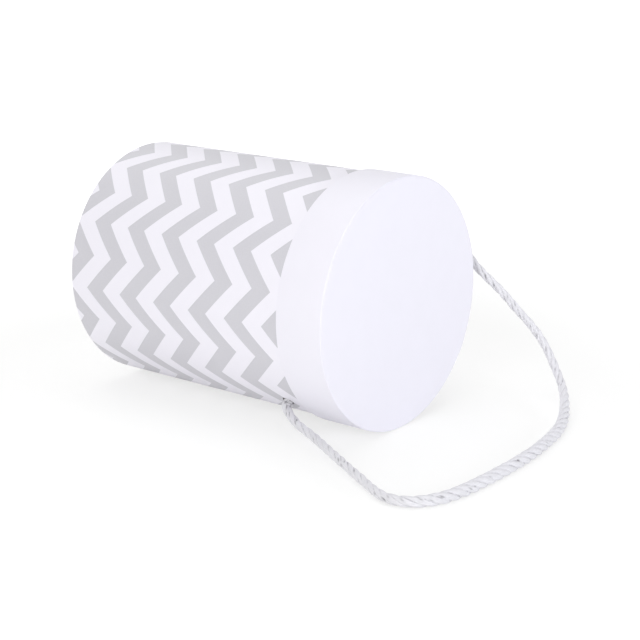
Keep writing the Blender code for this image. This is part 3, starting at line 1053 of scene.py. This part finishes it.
def rope_piece(name, skin, start, stop, material):
    """The stretch of the rope between two of its rings, closed at both ends, as one mesh."""
    rings, facts = skin
    count = stop - start
    near = np.arange(rope_sides)
    after = (near + 1) % rope_sides
    low = (np.arange(count - 1) * rope_sides)[:, None]
    walls = np.stack([low + near, low + after, low + rope_sides + after,
                      low + rope_sides + near], 2).reshape(-1, 4)
    last = (count - 1) * rope_sides
    faces = walls.tolist() + [near[::-1].tolist(), (near + last).tolist()]
    mesh = bpy.data.meshes.new(name)
    mesh.from_pydata(rings[start:stop].reshape(-1, 3).tolist(), [], faces)
    for label, values in facts.items():
        layer = mesh.attributes.new(label, "FLOAT", "POINT")
        layer.data.foreach_set("value", values[start:stop].reshape(-1).astype(np.float32))
    bake_map(mesh, rope_map(count))
    mesh.update()
    mesh.shade_smooth()
    mesh.materials.append(material)
    piece = bpy.data.objects.new(name, mesh)
    bpy.context.scene.collection.objects.link(piece)
    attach(piece, "handle")
    return piece


def make_rope(material):
    """The rope as one twisted skin, cut into its free stretch and its two knots."""
    near, free, far = rope_lines()
    whole = np.vstack([near[::-1], free, far])
    near_length = travel_along(near)[-1]
    free_length = travel_along(free)[-1]
    line = spaced(whole, rope_step)
    travel = travel_along(line)
    free_start = near_length + (rope_exit - rope_face)
    free_end = free_start + free_length
    width = rope_width(travel, free_start, free_end)
    first = int(np.searchsorted(travel, free_start))
    last = int(np.searchsorted(travel, free_end))
    skin = rope_skin(line, width, travel - free_start + twist_travel, first)
    rope = rope_piece("twisted_rope", skin, first, last + 1, material)
    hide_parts("handle_rope")
    near_knot = rope_piece("near_knot", skin, 0, first, material)
    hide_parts("rope_knot_near")
    far_knot = rope_piece("far_knot", skin, last + 1, len(line), material)
    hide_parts("rope_knot_far")


def make_floor():
    """One flat square that the box lies on."""
    mesh = bpy.data.meshes.new("floor")
    shape = bmesh.new()
    bmesh.ops.create_grid(shape, x_segments=1, y_segments=1, size=floor_reach)
    shape.to_mesh(mesh)
    shape.free()
    floor = bpy.data.objects.new("floor", mesh)
    bpy.context.scene.collection.objects.link(floor)
    mesh.materials.append(floor_paint())


def make_lamp(name, place, size, power, colour):
    """A soft rectangular lamp, with its width and height, aimed at the middle of the box."""
    data = bpy.data.lights.new(name, "AREA")
    data.shape = "RECTANGLE"
    data.size, data.size_y = size
    data.energy = power
    data.color = colour
    lamp = bpy.data.objects.new(name, data)
    bpy.context.scene.collection.objects.link(lamp)
    lamp.location = place
    aim = Vector(lamp_aim) - Vector(place)
    lamp.rotation_euler = aim.to_track_quat("-Z", "Y").to_euler()


def make_light():
    """White light from all round, the soft lamps and a plain white background."""
    world = bpy.data.worlds.new("studio")
    bpy.context.scene.world = world
    world.use_nodes = True
    tree = world.node_tree
    tree.nodes.clear()
    light = node(tree, "ShaderNodeBackground", Color=full_white, Strength=world_power)
    white = node(tree, "ShaderNodeBackground", Color=full_white, Strength=1.0)
    blend = tree.nodes.new("ShaderNodeMixShader")
    output = tree.nodes.new("ShaderNodeOutputWorld")
    tree.links.new(looked_at(tree), blend.inputs[0])
    tree.links.new(light.outputs[0], blend.inputs[1])
    tree.links.new(white.outputs[0], blend.inputs[2])
    tree.links.new(blend.outputs[0], output.inputs["Surface"])
    for lamp in lamps:
        make_lamp(*lamp)


def dress():
    """Gives the boards their material and puts every paper and the rope in their nodes' place."""
    papers = {
        "lid_paper": plain_paper("lid_paper", lid_white),
        "white_paper": plain_paper("white_paper", base_white),
        "lining_paper": plain_paper("lining_paper", lining_white, lining_rough, lining_relief),
    }
    board = greyboard()
    for name in ("body_tube", "base_disc", "lid_band_board", "lid_disc"):
        frame["nodes"][name].data.materials[0] = board
    make_body_paper(printed_paper())
    make_lid_paper(papers["lid_paper"])
    make_discs(papers)
    make_lining(papers["lining_paper"])
    make_rope(rope_fibre())


bpy.context.scene.view_settings.view_transform = "Standard"
make_camera()
make_floor()
make_light()
dress()

bpy.context.view_layer.update()
